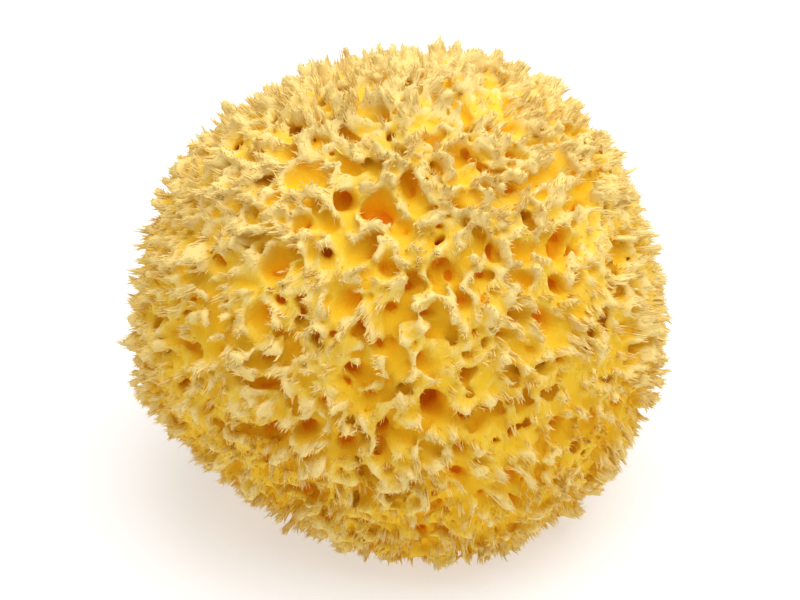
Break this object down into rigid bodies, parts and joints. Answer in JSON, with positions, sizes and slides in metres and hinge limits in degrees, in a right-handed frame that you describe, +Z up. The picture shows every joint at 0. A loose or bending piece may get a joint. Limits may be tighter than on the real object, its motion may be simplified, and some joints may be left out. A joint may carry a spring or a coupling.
{
  "type": "sea sponge",
  "caption": "Round natural honeycomb bath sponge: one porous golden body with frayed tufts between its pores, resting on a flat trimmed base.",
  "frame": {"origin": "on the flat trimmed base, straight below the middle of the body", "axes": "+Z up from the base; the side that the picture shows faces -Y and up; +X runs to the right as seen from that front"},
  "size_m": [0.138, 0.129, 0.118],
  "materials": {
    "sponge_fibre": "matte, dry fibrous spongin; pale cream at the tuft tips, golden on the walls, orange to brown deep in the pores"
  },
  "bodies": {
    "root": {"sponge": "sponge_fibre"}
  },
  "joints": []
}
